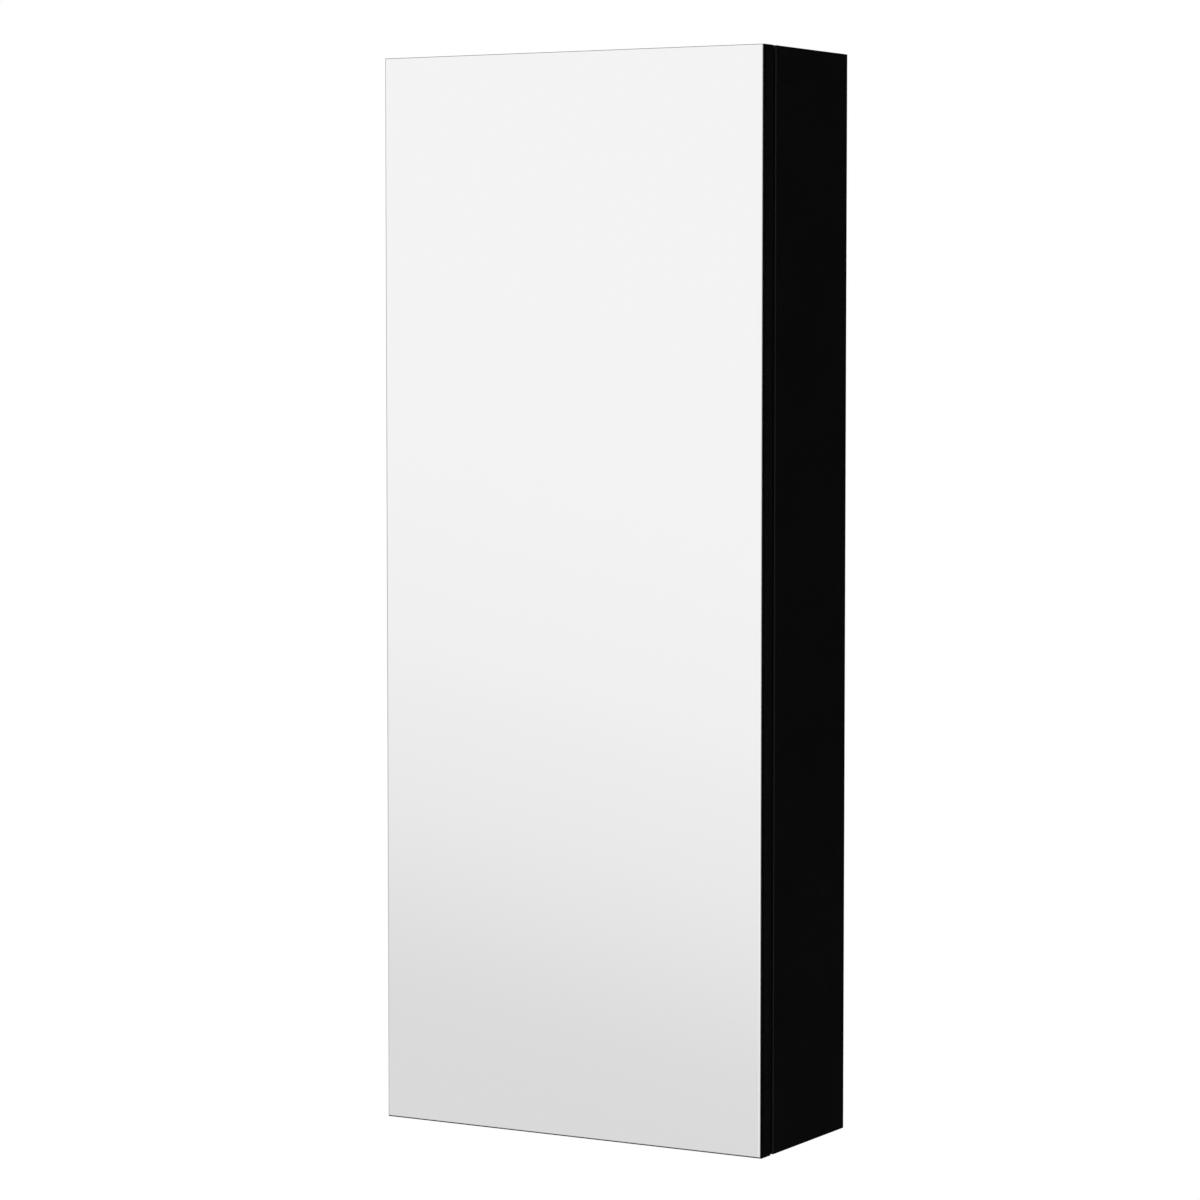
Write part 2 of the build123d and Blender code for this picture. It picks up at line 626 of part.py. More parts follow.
# Magnetic catch: housing with two ears, two steel pole plates with the magnet between
catch_front = CASE_FRONT + CATCH_SET_BACK
catch_back = catch_front + CATCH_DEPTH
half_catch = CATCH_WIDTH / 2
housing = block(
    (CATCH_X - half_catch, CATCH_X + half_catch),
    (catch_front, catch_back),
    (CATCH_TOP - CATCH_HEIGHT, CATCH_TOP),
)
ear_reach = half_catch + CATCH_EAR
ear_y = (catch_front + CATCH_DEPTH / 4, catch_back - CATCH_DEPTH / 4)
housing += block(
    (CATCH_X - ear_reach, CATCH_X + ear_reach),
    ear_y,
    (CATCH_TOP - CATCH_EAR_THICK, CATCH_TOP),
)
pole_back = POLE_FRONT + POLE_DEPTH
half_stack = MAGNET_THICK / 2 + POLE_THICK
housing -= block(
    (CATCH_X - POLE_WIDTH / 2, CATCH_X + POLE_WIDTH / 2),
    (catch_front, pole_back),
    (CATCH_MIDDLE - half_stack, CATCH_MIDDLE + half_stack),
)
catch_screws = []
for x in CATCH_SCREW_X:
    y = (catch_front + catch_back) / 2
    ear_z = (CATCH_TOP - CATCH_EAR_THICK, CATCH_TOP)
    housing -= peg_z(x, y, ear_z, CATCH_SCREW_RADIUS)
    screw = pan_screw(
        CATCH_SCREW_RADIUS,
        CATCH_SCREW_LENGTH + CATCH_EAR_THICK,
        CATCH_SCREW_HEAD_RADIUS,
        CATCH_SCREW_HEAD_THICK,
    )
    catch_screws.append(Pos(x, y, CATCH_TOP - CATCH_EAR_THICK) * DRIVEN_UP * screw)
write("catch_housing", housing)
write("catch_screws", catch_screws)
pole_plates = []
for side in SIDES:
    inner = CATCH_MIDDLE + side * MAGNET_THICK / 2
    pole_plates.append(
        block(
            (CATCH_X - POLE_WIDTH / 2, CATCH_X + POLE_WIDTH / 2),
            (POLE_FRONT, pole_back),
            (inner, inner + side * POLE_THICK),
        )
    )
write("catch_pole_plates", pole_plates)
magnet = block(
    (CATCH_X - POLE_WIDTH / 2, CATCH_X + POLE_WIDTH / 2),
    (POLE_FRONT + MAGNET_SET_BACK, pole_back),
    (CATCH_MIDDLE - MAGNET_THICK / 2, CATCH_MIDDLE + MAGNET_THICK / 2),
)
write("catch_magnet", magnet)

# Strike plate on the door, in front of the catch
strike = block(
    (CATCH_X - STRIKE_WIDTH / 2, CATCH_X + STRIKE_WIDTH / 2),
    (DOOR_BACK, DOOR_BACK + STRIKE_THICK),
    (CATCH_MIDDLE - STRIKE_HEIGHT / 2, CATCH_MIDDLE + STRIKE_HEIGHT / 2),
)
strike = fillet(strike.edges().filter_by(Axis.Y), STRIKE_CORNER)

# Door board with the two cup borings and the pilot holes
board_x = HALF_WIDTH - DOOR_BAND
board_z = HALF_HEIGHT - DOOR_BAND
board = block((-board_x, board_x), (DOOR_BACK, BOARD_FRONT), (-board_z, board_z))
for middle in HINGES.values():
    boring = (DOOR_BACK, DOOR_BACK - CUP_DEPTH - CUP_HOLE_SPARE)
    board -= rod_y(CUP_X, boring, middle, CUP_RADIUS)
    for side in SIDES:
        pilot = (DOOR_BACK, DOOR_BACK - CUP_SCREW_LENGTH)
        z = middle + side * EAR_SPREAD
        board -= peg_y(CUP_X + EAR_OFFSET, pilot, z, CUP_SCREW_RADIUS)

# Strike screw, with its head let into the strike plate
strike_screw = peg_y(
    CATCH_X,
    (DOOR_BACK + STRIKE_THICK, DOOR_BACK - STRIKE_SCREW_LENGTH),
    CATCH_MIDDLE,
    CATCH_SCREW_RADIUS,
)
head_y = (DOOR_BACK + STRIKE_THICK, DOOR_BACK + STRIKE_THICK - STRIKE_SCREW_HEAD_THICK)
strike_screw += peg_y(CATCH_X, head_y, CATCH_MIDDLE, CATCH_SCREW_HEAD_RADIUS)
strike -= strike_screw
board -= strike_screw
write("strike_plate", strike)
write("strike_screw", strike_screw)
write("door_board", board)

# Door edge bands: full height on the sides, with the bevelled back corner
side_bands = []
for side in SIDES:
    x_range = (side * board_x, side * HALF_WIDTH)
    band = block(x_range, (DOOR_BACK, BOARD_FRONT), (-HALF_HEIGHT, HALF_HEIGHT))
    back_edges = band.edges().filter_by(Axis.Z).group_by(Axis.Y)[-1]
    outer_edge = back_edges.sort_by(Axis.X)[-1 if side > 0 else 0]
    side_bands.append(chamfer(outer_edge, DOOR_BEVEL))
write("door_side_bands", side_bands)
door_ends = []
for end in SIDES:
    z_range = (end * board_z, end * HALF_HEIGHT)
    door_ends.append(block((-board_x, board_x), (DOOR_BACK, BOARD_FRONT), z_range))
write("door_end_bands", door_ends)

# Mirror glass over the whole door, and the adhesive strips behind it
mirror = block((-HALF_WIDTH, HALF_WIDTH), (MIRROR_BACK, -DEPTH), (-HALF_HEIGHT, HALF_HEIGHT))
front_edges = mirror.faces().sort_by(Axis.Y)[0].edges()
mirror = fillet(front_edges, PENCIL_RADIUS)
rear_edges = mirror.faces().sort_by(Axis.Y)[-1].edges()
write("mirror_glass", chamfer(rear_edges, MIRROR_BEVEL))
strips = []
for x in STRIP_ROWS:
    x_range = (x - STRIP_WIDTH / 2, x + STRIP_WIDTH / 2)
    reach = HALF_HEIGHT - STRIP_END
    strips.append(block(x_range, (BOARD_FRONT, MIRROR_BACK), (-reach, reach)))
write("mirror_adhesive", strips)

# Clear bumpers on the door's back near its free corners
bumpers = []
for end in SIDES:
    top = DOOR_BACK + DOOR_GAP - BUMPER_SPARE
    x = HALF_WIDTH - BUMPER_FROM_EDGE
    bumper = rod_y(x, (DOOR_BACK, top), end * BUMPER_HEIGHT, BUMPER_RADIUS)
    rim = bumper.edges().filter_by(GeomType.CIRCLE).sort_by(Axis.Y)[-1]
    bumpers.append(chamfer(rim, BUMPER_ROUND))
write("door_bumpers", bumpers)
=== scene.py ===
import json
import math

import bmesh
import bpy
from mathutils import Matrix, Vector


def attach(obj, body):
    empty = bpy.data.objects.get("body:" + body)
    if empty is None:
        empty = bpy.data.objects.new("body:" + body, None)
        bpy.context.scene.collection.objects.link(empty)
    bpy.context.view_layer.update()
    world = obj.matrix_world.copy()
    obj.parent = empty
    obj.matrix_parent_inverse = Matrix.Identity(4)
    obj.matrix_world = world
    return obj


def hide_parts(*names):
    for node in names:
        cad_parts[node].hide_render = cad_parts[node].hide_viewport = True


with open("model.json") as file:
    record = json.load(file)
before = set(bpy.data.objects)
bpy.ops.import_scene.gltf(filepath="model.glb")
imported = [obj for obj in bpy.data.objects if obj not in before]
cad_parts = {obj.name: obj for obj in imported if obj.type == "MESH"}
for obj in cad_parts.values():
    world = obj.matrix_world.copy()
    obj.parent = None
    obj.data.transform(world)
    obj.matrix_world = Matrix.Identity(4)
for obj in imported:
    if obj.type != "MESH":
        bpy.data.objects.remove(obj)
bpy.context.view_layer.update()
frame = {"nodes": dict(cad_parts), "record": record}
nodes = frame["nodes"]
scene = bpy.context.scene

# Places on the mirror that its looks refer to, in metres
HALF_WIDTH = 0.150
HALF_HEIGHT = 0.375
MIRROR_REAR = -0.121
# The silver starts and is whole this far in from the sides, and from the ends
SIDE_SILVER = (0.0002, 0.0011)
END_SILVER = (0.0008, 0.0014)
# It comes this much nearer to the top end than to the bottom one
TOP_SILVER_SPARE = 0.0007
# The spare is taken up over this stretch of the height
SPARE_HEIGHTS = (-0.1, 0.1)
# The paint starts and is whole this far in front of the rear face
PAINT_DEPTHS = (0.0003, 0.0001)

# Most values of a noise lie between these two
NOISE_LOW = 0.3
NOISE_HIGH = 0.7
EVEN = (1, 1, 1)
WHITE = (1.0, 1.0, 1.0)
NICKEL_TINT = (1.0, 0.99, 0.97)
HINGE_TINT = (1.0, 0.985, 0.96)


def grey(value, tint=WHITE):
    return tuple(value * t for t in tint)


class Tree:
    """A node tree: add() makes a node, and the others give back an output of it."""

    def __init__(self, tree):
        self.tree = tree

    def add(self, kind, values=None, **settings):
        node = self.tree.nodes.new(kind)
        for key, value in settings.items():
            setattr(node, key, value)
        for key, value in (values or {}).items():
            node.inputs[key].default_value = value
        return node

    def link(self, source, target):
        self.tree.links.new(source, target)

    def feed(self, value, socket):
        """Links an output to a socket, or sets the socket to a plain value."""
        if isinstance(value, bpy.types.NodeSocket):
            self.link(value, socket)
        else:
            socket.default_value = value

    def ramp(self, source, stops):
        node = self.add("ShaderNodeValToRGB")
        elements = node.color_ramp.elements
        while len(elements) < len(stops):
            elements.new(0.5)
        for element, (position, colour) in zip(elements, stops):
            element.position = position
            element.color = (*colour, 1.0)
        self.link(source, node.inputs["Fac"])
        return node.outputs["Color"]

    def span(self, source, low, high, out_low=0.0, out_high=1.0, **settings):
        node = self.add(
            "ShaderNodeMapRange",
            {"From Min": low, "From Max": high, "To Min": out_low, "To Max": out_high},
            **settings,
        )
        self.link(source, node.inputs["Value"])
        return node.outputs["Result"]

    def math(self, operation, *values):
        node = self.add("ShaderNodeMath", operation=operation)
        for value, socket in zip(values, node.inputs):
            self.feed(value, socket)
        return node.outputs[0]

    def dot(self, source, direction):
        node = self.add("ShaderNodeVectorMath", operation="DOT_PRODUCT")
        self.link(source, node.inputs[0])
        node.inputs[1].default_value = direction
        return node.outputs["Value"]

    def scaled(self, colour, factor):
        node = self.add("ShaderNodeVectorMath", operation="SCALE")
        self.feed(colour, node.inputs[0])
        self.link(factor, node.inputs["Scale"])
        return node.outputs["Vector"]

    def mix(self, factor, first, second):
        """The first colour where the factor is 0, the second where it is 1."""
        node = self.add("ShaderNodeMix", data_type="RGBA")
        self.link(factor, node.inputs["Factor"])
        self.feed(first, node.inputs["A"])
        self.feed(second, node.inputs["B"])
        return node.outputs["Result"]


class Shader(Tree):
    """The node tree of a new material, with ways to set its surface."""

    def __init__(self, name):
        self.mat = bpy.data.materials.new(name)
        self.mat.use_nodes = True
        super().__init__(self.mat.node_tree)
        self.bsdf = self.tree.nodes["Principled BSDF"]
        self.out = self.tree.nodes["Material Output"]

    def set(self, **values):
        for key, value in values.items():
            self.bsdf.inputs[key.replace("_", " ")].default_value = value

    def coords(self, stretch=EVEN):
        place = self.add("ShaderNodeTexCoord")
        mapping = self.add("ShaderNodeMapping", {"Scale": stretch})
        self.link(place.outputs["Object"], mapping.inputs["Vector"])
        return mapping.outputs["Vector"]

    def noise(self, scale, detail=2.0, stretch=EVEN, distortion=0.0):
        node = self.add(
            "ShaderNodeTexNoise",
            {"Scale": scale, "Detail": detail, "Distortion": distortion},
        )
        self.link(self.coords(stretch), node.inputs["Vector"])
        return node.outputs["Fac"]

    def blend(self, first, second, share):
        """A sum of two noises, with a share of the first and the rest of the second."""
        rest = self.math("MULTIPLY", second, 1.0 - share)
        return self.math("ADD", self.math("MULTIPLY", first, share), rest)

    def colour(self, output):
        self.link(output, self.bsdf.inputs["Base Color"])

    def tone(self, source, dark, light, low=NOISE_LOW, high=NOISE_HIGH):
        self.colour(self.ramp(source, [(low, dark), (high, light)]))

    def rough(self, output):
        self.link(output, self.bsdf.inputs["Roughness"])

    def rough_by(self, source, smoothest, roughest):
        self.rough(self.span(source, NOISE_LOW, NOISE_HIGH, smoothest, roughest))

    def bump(self, height, strength, distance):
        node = self.add("ShaderNodeBump", {"Strength": strength, "Distance": distance})
        self.link(height, node.inputs["Height"])
        self.link(node.outputs["Normal"], self.bsdf.inputs["Normal"])


def black_board(name, dark, light, scale, bump, level):
    """Black melamine-faced board: a fine pearl texture with a faint cloud in its tone."""
    s = Shader(name)
    s.set(IOR=1.45, Specular_IOR_Level=level)
    pearl = s.noise(scale, detail=3.0)
    cloud = s.noise(scale=14.0)
    mottle = s.blend(pearl, cloud, share=0.6)
    s.tone(mottle, grey(dark), grey(light), low=0.32, high=0.68)
    s.rough_by(pearl, smoothest=0.38, roughest=0.50)
    s.bump(pearl, bump, distance=0.0002)
    return s.mat


def black_band():
    """Edge band: smoother than the board, with faint lines along its length."""
    s = Shader("band_black")
    s.set(IOR=1.45, Specular_IOR_Level=0.28)
    lines = s.noise(scale=260.0, stretch=(6.0, 6.0, 0.15))
    fine = s.noise(scale=1400.0)
    s.tone(lines, dark=grey(0.004), light=grey(0.008))
    s.rough_by(fine, smoothest=0.38, roughest=0.50)
    s.bump(lines, strength=0.25, distance=0.0001)
    return s.mat


def beech():
    """Beech dowels: grain and short flecks that run along the X axis."""
    s = Shader("beech")
    s.set(IOR=1.45, Specular_IOR_Level=0.4)
    grain = s.noise(scale=90.0, detail=4.0, stretch=(0.12, 1.6, 1.6), distortion=0.6)
    flecks = s.noise(scale=420.0, stretch=(0.2, 1.0, 1.0))
    figure = s.blend(grain, flecks, share=0.7)
    s.tone(figure, dark=(0.42, 0.27, 0.15), light=(0.66, 0.49, 0.31))
    s.rough_by(grain, smoothest=0.50, roughest=0.68)
    s.bump(flecks, strength=0.3, distance=0.0002)
    return s.mat


def nickel(name, dark, light, rough, bump, stretch=EVEN):
    """Plated metal: brushed or cast detail comes from the stretch of its noise."""
    s = Shader(name)
    s.set(Metallic=1.0)
    marks = s.noise(scale=700.0, detail=3.0, stretch=stretch)
    cloud = s.noise(scale=60.0, detail=3.0)
    s.tone(cloud, dark, light)
    s.rough_by(marks, *rough)
    s.bump(marks, bump, distance=0.00008)
    return s.mat


def black_plastic():
    """Moulded caps: an even fine grain, with a slow change of tone."""
    s = Shader("cap_black")
    s.set(IOR=1.46, Specular_IOR_Level=0.35)
    grain = s.noise(scale=1600.0)
    wear = s.noise(scale=120.0)
    s.tone(wear, dark=grey(0.010), light=grey(0.016))
    s.rough_by(grain, smoothest=0.42, roughest=0.58)
    s.bump(grain, strength=0.4, distance=0.0001)
    return s.mat


def clear_silicone():
    """Soft clear pads with a hazy skin."""
    s = Shader("clear_silicone")
    s.set(IOR=1.41, Transmission_Weight=0.85, Base_Color=(0.93, 0.95, 0.96, 1))
    haze = s.noise(scale=500.0)
    s.rough_by(haze, smoothest=0.14, roughest=0.30)
    s.bump(haze, strength=0.2, distance=0.0001)
    return s.mat


def shelf_glass():
    """Clear float glass; its ground edges are greener and frosted."""
    s = Shader("shelf_glass")
    s.set(IOR=1.5, Transmission_Weight=1.0)
    geometry = s.add("ShaderNodeNewGeometry")
    parts = s.add("ShaderNodeSeparateXYZ")
    s.link(geometry.outputs["Normal"], parts.inputs["Vector"])
    level = s.math("ABSOLUTE", parts.outputs["Z"])
    edge = s.span(level, low=0.95, high=0.55)
    clear = (0.96, 0.99, 0.975)
    green = (0.50, 0.80, 0.66)
    s.tone(edge, clear, green, low=0.0, high=1.0)
    ground = s.noise(scale=1800.0)
    passing = s.span(edge, low=0.0, high=1.0, out_low=1.0, out_high=0.55)
    s.link(passing, s.bsdf.inputs["Transmission Weight"])
    grinding = s.span(ground, NOISE_LOW, NOISE_HIGH, out_low=0.12, out_high=0.26)
    polish = 0.004
    s.rough(s.math("ADD", s.math("MULTIPLY", edge, grinding), polish))
    s.bump(s.math("MULTIPLY", ground, edge), strength=0.3, distance=0.00008)
    return s.mat


def ferrite():
    """The catch's magnet: sintered and grainy."""
    s = Shader("magnet")
    s.set(IOR=1.6, Specular_IOR_Level=0.5)
    grain = s.noise(scale=1500.0, detail=3.0)
    s.tone(grain, dark=grey(0.035), light=grey(0.07))
    s.rough_by(grain, smoothest=0.45, roughest=0.65)
    s.bump(grain, strength=0.5, distance=0.0001)
    return s.mat


def adhesive():
    """Pale foam strips with small cells."""
    s = Shader("adhesive")
    s.set(IOR=1.45, Specular_IOR_Level=0.25)
    texture = s.add("ShaderNodeTexVoronoi", {"Scale": 1600.0})
    s.link(s.coords(), texture.inputs["Vector"])
    cells = texture.outputs["Distance"]
    s.tone(cells, dark=grey(0.52), light=grey(0.68), low=0.1, high=0.6)
    s.rough(s.span(cells, low=0.0, high=0.7, out_low=0.6, out_high=0.8))
    s.bump(cells, strength=0.4, distance=0.0001)
    return s.mat


def silvered_mirror():
    """Silvered float glass. The silver fades out over the rounded edge, where only the
    dark green body of the glass is left, and the back is painted grey."""
    s = Shader("mirror")
    s.set(IOR=1.5, Specular_IOR_Level=0.5)
    place = s.add("ShaderNodeTexCoord")
    parts = s.add("ShaderNodeSeparateXYZ")
    s.link(place.outputs["Object"], parts.inputs["Vector"])
    from_side = s.math("SUBTRACT", HALF_WIDTH, s.math("ABSOLUTE", parts.outputs["X"]))
    from_end = s.math("SUBTRACT", HALF_HEIGHT, s.math("ABSOLUTE", parts.outputs["Z"]))
    side_silver = s.span(from_side, *SIDE_SILVER, interpolation_type="SMOOTHSTEP")
    spare = s.span(parts.outputs["Z"], *SPARE_HEIGHTS, out_high=TOP_SILVER_SPARE)
    inside = s.math("ADD", spare, from_end)
    end_silver = s.span(inside, *END_SILVER, interpolation_type="SMOOTHSTEP")
    silver = s.math("MULTIPLY", side_silver, end_silver)
    rear = s.span(parts.outputs["Y"], *(MIRROR_REAR - depth for depth in PAINT_DEPTHS))
    silvered = s.math("MULTIPLY", silver, s.math("SUBTRACT", 1.0, rear))
    s.link(silvered, s.bsdf.inputs["Metallic"])
    bare_glass = (0.0030, 0.0042, 0.0026)
    bright_silver = (0.896, 0.899, 0.896)
    glass = s.ramp(silver, [(0.0, bare_glass), (1.0, bright_silver)])
    cloud = s.noise(scale=5.0)
    paint = s.ramp(cloud, [(NOISE_LOW, grey(0.16)), (NOISE_HIGH, grey(0.20))])
    s.colour(s.mix(rear, glass, paint))
    film = s.noise(scale=38.0, detail=3.0)
    polish = s.span(film, low=0.35, high=0.75, out_low=0.004, out_high=0.016)
    paint_roughness = s.math("MULTIPLY", rear, 0.5)
    s.rough(s.math("ADD", polish, paint_roughness))
    wave = s.noise(scale=7.0, detail=1.0)
    s.bump(wave, strength=0.04, distance=0.0002)
    return s.mat


materials = {
    "board_black": black_board(
        "board_black", dark=0.0045, light=0.0085, scale=900.0, bump=0.35, level=0.26
    ),
    "back_board_black": black_board(
        "back_board_black", dark=0.007, light=0.012, scale=500.0, bump=0.25, level=0.32
    ),
    "band_black": black_band(),
    "beech": beech(),
    "zinc": nickel(
        "zinc", grey(0.62), grey(0.72, NICKEL_TINT), rough=(0.26, 0.40), bump=0.35
    ),
    "steel_bright": nickel(
        "steel_bright", grey(0.70), grey(0.80, NICKEL_TINT), rough=(0.16, 0.28), bump=0.2
    ),
    "hinge_steel": nickel(
        "hinge_steel",
        grey(0.64),
        grey(0.76, HINGE_TINT),
        rough=(0.20, 0.34),
        bump=0.3,
        stretch=(1, 0.06, 1),
    ),
    "cap_black": black_plastic(),
    "clear_silicone": clear_silicone(),
    "shelf_glass": shelf_glass(),
    "magnet": ferrite(),
    "mirror": silvered_mirror(),
    "adhesive": adhesive(),
}

slots = {part["node"]: part["material_slot"] for part in frame["record"]["subparts"]}
for name, node in nodes.items():
    node.data.materials.clear()
    node.data.materials.append(materials[slots[name]])


# Screws: the plain CAD screws are replaced by ones with domed heads and cross recesses.
# Each head's points are shares of its radius, and of its thickness below the top
DOMED_HEAD = (
    (0.96, 1.0),
    (1.0, 0.86),
    (1.0, 0.55),
    (0.965, 0.33),
    (0.88, 0.16),
    (0.74, 0.05),
    (0.52, 0.0),
)
FLAT_HEAD = ((0.98, 1.0), (0.98, 0.08), (0.95, 0.0))
# Shares of the shank's radius
SHANK = 0.98
TIP_RADIUS = 0.25
TIP_LENGTH = 1.6
# The recess: shares of the head's radius and thickness, and its least depth in metres
RECESS_REACH = 0.52
RECESS_WIDTH = 0.24
RECESS_DEPTH = 0.7
RECESS_LEAST = 0.0009
RECESS_TAPER = 0.45
# Each cross stands at its own angle: degrees at the origin, and per metre of Y and Z
CROSS_TURN = 17.0
CROSS_TURN_BY_Y = 400.0
CROSS_TURN_BY_Z = 900.0
SHARP_ANGLE = 32.0
RIGHTWARDS = (1, 0, 0)
BACKWARDS = (0, 1, 0)
DOWNWARDS = (0, 0, -1)


def loose_boxes(node):
    """The box of each separate solid in a node, as its lowest and highest corners."""
    work = bmesh.new()
    work.from_mesh(node.data)
    bmesh.ops.remove_doubles(work, verts=work.verts, dist=1e-6)
    left = set(work.verts)
    boxes = []
    while left:
        stack = [left.pop()]
        found = []
        while stack:
            vertex = stack.pop()
            found.append(vertex.co.copy())
            for edge in vertex.link_edges:
                other = edge.other_vert(vertex)
                if other in left:
                    left.remove(other)
                    stack.append(other)
        low = Vector([min(p[i] for p in found) for i in range(3)])
        high = Vector([max(p[i] for p in found) for i in range(3)])
        boxes.append((low, high))
    work.free()
    return boxes


def to_mesh(work, name):
    mesh = bpy.data.meshes.new(name)
    work.to_mesh(mesh)
    work.free()
    return mesh


def ring(work, radius, height, steps):
    """The points of one level of a turned body: a single one where the radius is 0."""
    if radius == 0:
        return [work.verts.new((0, 0, height))]
    turns = [2 * math.pi * k / steps for k in range(steps)]
    return [work.verts.new((radius * math.cos(a), radius * math.sin(a), height)) for a in turns]


def turned(profile, steps=36):
    """A closed body of revolution about Z from (radius, height) points, bottom to top."""
    work = bmesh.new()
    rings = [ring(work, radius, height, steps) for radius, height in profile]
    for lower, upper in zip(rings, rings[1:]):
        for k in range(steps):
            j = (k + 1) % steps
            corners = [lower[k % len(lower)], lower[j % len(lower)]]
            corners += [upper[j % len(upper)], upper[k % len(upper)]]
            work.faces.new(list(dict.fromkeys(corners)))
    bmesh.ops.recalc_face_normals(work, faces=work.faces)
    return to_mesh(work, "turned")


def cross_cutter(reach, width, depth):
    """A tapered cross that cuts the recess into a head whose top is at Z = 0."""
    work = bmesh.new()
    w, r = width / 2, reach
    plan = [(w, w), (w, r), (-w, r), (-w, w), (-r, w), (-r, -w)]
    plan += [(-w, -w), (-w, -r), (w, -r), (w, -w), (r, -w), (r, w)]
    top = [work.verts.new((x, y, depth)) for x, y in plan]
    bottom = [work.verts.new((x * RECESS_TAPER, y * RECESS_TAPER, -depth)) for x, y in plan]
    work.faces.new(top)
    work.faces.new(bottom)
    for k in range(len(plan)):
        j = (k + 1) % len(plan)
        work.faces.new([top[k], top[j], bottom[j], bottom[k]])
    bmesh.ops.recalc_face_normals(work, faces=work.faces)
    return to_mesh(work, "cutter")


def screw_mesh(head, head_radius, head_thick, shank_radius, length):
    """One screw with its head's top at Z = 0, pointing down."""
    profile = [(0, -length), (shank_radius * TIP_RADIUS, -length)]
    profile += [(shank_radius * SHANK, -length + shank_radius * TIP_LENGTH)]
    profile += [(shank_radius * SHANK, -head_thick)]
    profile += [(head_radius * share, -head_thick * drop) for share, drop in head]
    profile += [(0, 0)]
    depth = max(head_thick * RECESS_DEPTH, RECESS_LEAST)
    cutter = cross_cutter(head_radius * RECESS_REACH, head_radius * RECESS_WIDTH, depth)
    body = bpy.data.objects.new("screw_body", turned(profile))
    cut = bpy.data.objects.new("screw_cut", cutter)
    for piece in (body, cut):
        scene.collection.objects.link(piece)
    modifier = body.modifiers.new("recess", "BOOLEAN")
    modifier.operation = "DIFFERENCE"
    modifier.object = cut
    modifier.solver = "EXACT"
    bpy.context.view_layer.update()
    evaluated = body.evaluated_get(bpy.context.evaluated_depsgraph_get())
    mesh = bpy.data.meshes.new_from_object(evaluated)
    for piece in (body, cut):
        bpy.data.objects.remove(piece)
    return mesh


def detailed_screws(name, body, towards, head_thick, shank_radius, head=DOMED_HEAD):
    """Puts a detailed screw in place of each plain one; its head looks towards an axis."""
    axis = Vector(towards)
    turn = axis.to_track_quat("Z", "Y").to_matrix().to_4x4()
    joined = bmesh.new()
    for low, high in loose_boxes(nodes[name]):
        size = high - low
        length = abs(size.dot(axis))
        across = [size[i] for i in range(3) if abs(axis[i]) < 0.5]
        middle = (low + high) / 2
        mesh = screw_mesh(head, min(across) / 2, head_thick, shank_radius, length)
        angle = CROSS_TURN + CROSS_TURN_BY_Z * middle.z + CROSS_TURN_BY_Y * middle.y
        spin = Matrix.Rotation(math.radians(angle), 4, "Z")
        mesh.transform(Matrix.Translation(middle + axis * length / 2) @ turn @ spin)
        joined.from_mesh(mesh)
        bpy.data.meshes.remove(mesh)
    mesh = to_mesh(joined, name + "_detail")
    mesh.shade_smooth()
    mesh.set_sharp_from_angle(angle=math.radians(SHARP_ANGLE))
    mesh.materials.append(materials[slots[name]])
    piece = bpy.data.objects.new(name + "_detail", mesh)
    scene.collection.objects.link(piece)
    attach(piece, body)
    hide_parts(name)


detailed_screws("cup_screws", "door", BACKWARDS, 0.0006, 0.0015)
detailed_screws("plate_screws", "cabinet", RIGHTWARDS, 0.0016, 0.0025)
detailed_screws("arm_adjusting_screws", "cabinet", RIGHTWARDS, 0.0014, 0.0025)
detailed_screws("arm_fixing_screws", "cabinet", RIGHTWARDS, 0.0014, 0.0025)
detailed_screws("catch_screws", "cabinet", DOWNWARDS, 0.0012, 0.0015)
detailed_screws("strike_screw", "door", BACKWARDS, 0.0008, 0.0015, head=FLAT_HEAD)


# Studio: a white ground for the camera, and a cyclorama for what the mirror shows.
# The cyclorama's wall turns into its floor below eye level; the join is a little askew
SIDEWAYS = Vector((0.8676, -0.4973, 0.0))
TILT = 0.28
DROP = Vector((-TILT * SIDEWAYS.x, -TILT * SIDEWAYS.y, -1.0))
# How far a direction points along that drop, and the brightness it meets there
FLOOR_STOPS = (
    (0.000, 1.000),
    (0.050, 0.991),
    (0.062, 0.982),
    (0.075, 0.974),
    (0.090, 0.965),
    (0.104, 0.938),
    (0.117, 0.921),
    (0.129, 0.903),
    (0.144, 0.868),
    (0.154, 0.842),
    (0.164, 0.815),
    (0.175, 0.790),
    (0.190, 0.775),
    (0.500, 0.750),
    (0.700, 0.600),
    (0.850, 0.200),
    (1.000, 0.080),
)
BEHIND_RIGHT = (0.6, 0.8, 0.0)
BEHIND_LEFT = (-0.7, 0.7, 0.0)
RIGHT = (1.0, 0.0, 0.0)
SOFT_LIGHT = (0.98, 0.99, 1.0)

scene.world = bpy.data.worlds.new("studio")
scene.world.use_nodes = True
scene.world.node_tree.nodes.clear()
sky = Tree(scene.world.node_tree)
sight = sky.add("ShaderNodeTexCoord").outputs["Generated"]


def screened(direction, start, full, level):
    """1 away from a direction, falling to a level where the dot product reaches full."""
    return sky.span(sky.dot(sight, direction), start, full, out_low=1.0, out_high=level)


cyclorama = sky.ramp(sky.dot(sight, DROP), [(drop, grey(value)) for drop, value in FLOOR_STOPS])
# A dark screen stands behind and to the right of the cabinet, so its side stays black,
# and a grey one behind and to the left, which draws the thin line of the far glass edge
dark_screen = screened(BEHIND_RIGHT, start=0.05, full=0.60, level=0.01)
grey_screen = screened(BEHIND_LEFT, start=0.30, full=0.70, level=0.35)
dimmed = sky.scaled(cyclorama, sky.math("MULTIPLY", dark_screen, grey_screen))
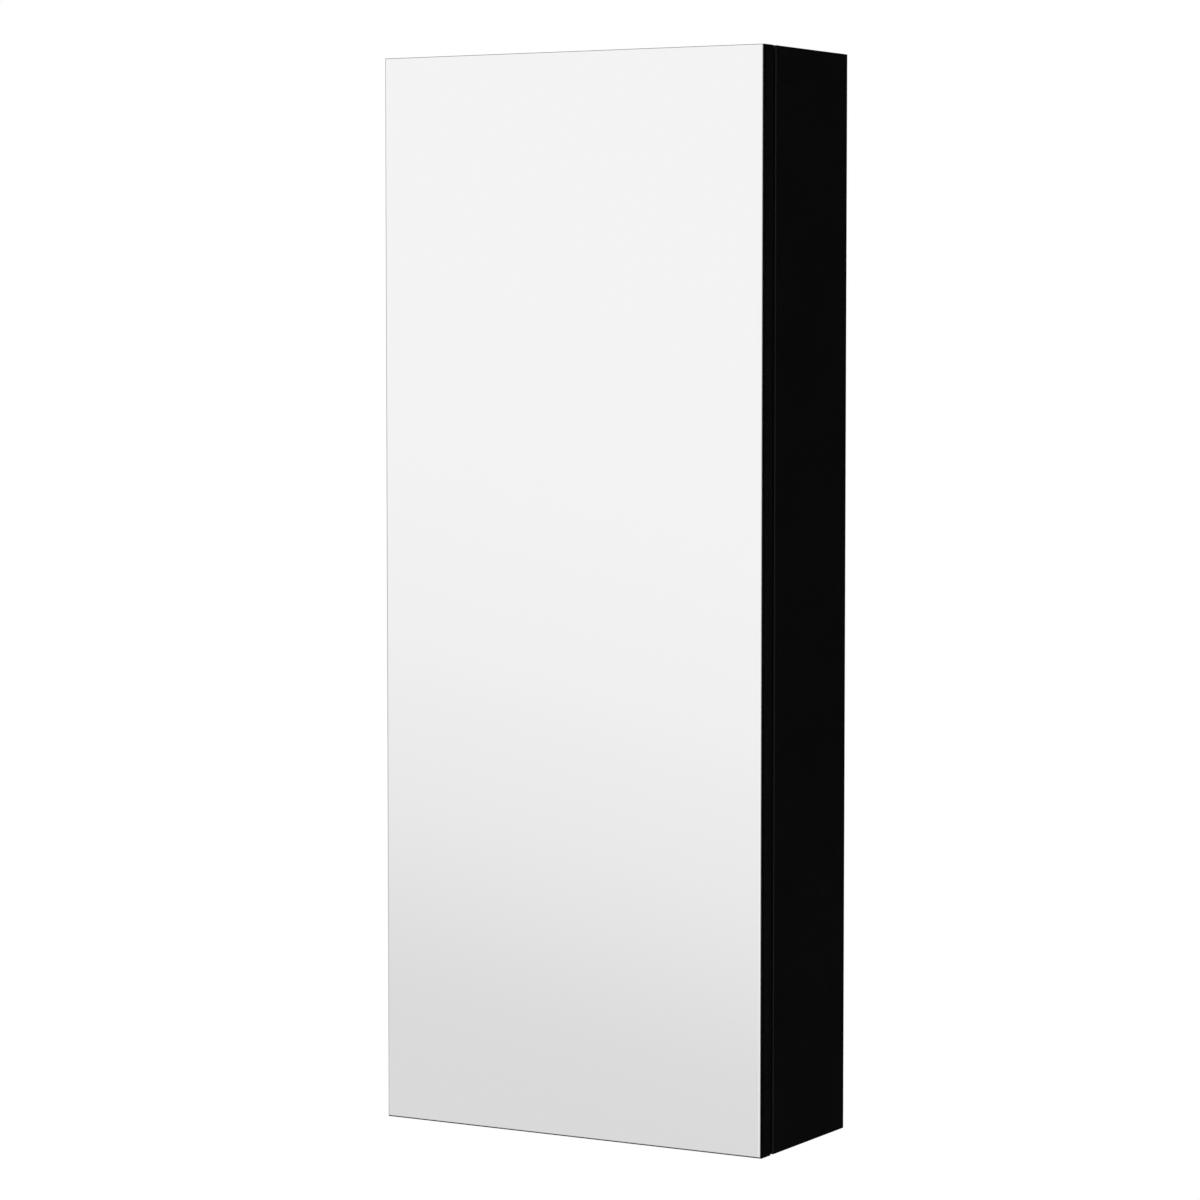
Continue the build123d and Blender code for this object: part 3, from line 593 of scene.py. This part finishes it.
# The soft light comes from the front and the left; the right side gets almost none
soft = sky.scaled(SOFT_LIGHT, screened(RIGHT, start=-0.15, full=0.15, level=0.02))
path = sky.add("ShaderNodeLightPath").outputs
seen = sky.math("MAXIMUM", path["Is Glossy Ray"], path["Is Transmission Ray"])
ground = sky.mix(path["Is Camera Ray"], sky.mix(seen, soft, dimmed), (*WHITE, 1.0))
background = sky.add("ShaderNodeBackground")
sky.link(ground, background.inputs["Color"])
output = sky.add("ShaderNodeOutputWorld")
sky.link(background.outputs["Background"], output.inputs["Surface"])

FLOOR_HALF = 6.0
FLOOR_LEVEL = -1.35


def floor_paper():
    """Pale paper, white to the camera, unseen in reflections and from underneath."""
    s = Shader("floor_paper")
    s.set(Roughness=0.9, Specular_IOR_Level=0.1)
    s.tone(s.noise(scale=3.0), dark=grey(0.80), light=grey(0.84))
    white = s.add("ShaderNodeEmission").outputs["Emission"]
    clear = s.add("ShaderNodeBsdfTransparent").outputs["BSDF"]
    ray = s.add("ShaderNodeLightPath").outputs
    below = s.add("ShaderNodeNewGeometry").outputs["Backfacing"]
    reflected = s.math("MAXIMUM", ray["Is Glossy Ray"], ray["Is Transmission Ray"])
    surface = s.bsdf.outputs["BSDF"]
    for factor, other in ((ray["Is Camera Ray"], white), (reflected, clear), (below, clear)):
        choice = s.add("ShaderNodeMixShader")
        s.link(factor, choice.inputs["Fac"])
        s.link(surface, choice.inputs[1])
        s.link(other, choice.inputs[2])
        surface = choice.outputs["Shader"]
    s.link(surface, s.out.inputs["Surface"])
    return s.mat


# Floor: far below the hung cabinet
corners = [(-1, -1), (1, -1), (1, 1), (-1, 1)]
mesh = bpy.data.meshes.new("floor")
mesh.from_pydata(
    [(x * FLOOR_HALF, y * FLOOR_HALF, FLOOR_LEVEL) for x, y in corners],
    [],
    [(0, 1, 2, 3)],
)
floor = bpy.data.objects.new("floor", mesh)
scene.collection.objects.link(floor)
floor.data.materials.append(floor_paper())


def lamp(name, place, size, power):
    """A soft square lamp, aimed at the cabinet, that the mirror doesn't show."""
    data = bpy.data.lights.new(name, "AREA")
    data.shape = "SQUARE"
    data.size = size
    data.energy = power
    piece = bpy.data.objects.new(name, data)
    scene.collection.objects.link(piece)
    piece.location = place
    piece.rotation_euler = (-Vector(place)).to_track_quat("-Z", "Y").to_euler()
    piece.visible_glossy = False


lamp("key", (-1.6, -2.6, 2.0), size=1.6, power=70.0)
lamp("fill", (0.2, -3.0, 0.4), size=1.2, power=45.0)
lamp("back", (-0.6, 2.4, 1.6), size=1.6, power=40.0)

# Camera, from the photograph's perspective: metres, degrees, and millimetres for the lens
CAMERA_PLACE = (1.4106, -2.5281, 0.1857)
CAMERA_YAW = 29.973
CAMERA_PITCH = 3.660
LENS = 121.573
SENSOR = 36.0
SHIFT_Y = -0.01
camera_data = bpy.data.cameras.new("camera")
camera = bpy.data.objects.new("camera", camera_data)
scene.collection.objects.link(camera)
scene.camera = camera
camera_data.sensor_width = SENSOR
camera_data.lens = LENS
camera_data.shift_y = SHIFT_Y
camera.location = CAMERA_PLACE
tip_down = math.radians(CAMERA_PITCH)
camera.rotation_euler = (math.pi / 2 - tip_down, 0.0, math.radians(CAMERA_YAW))

scene.view_settings.view_transform = "Standard"
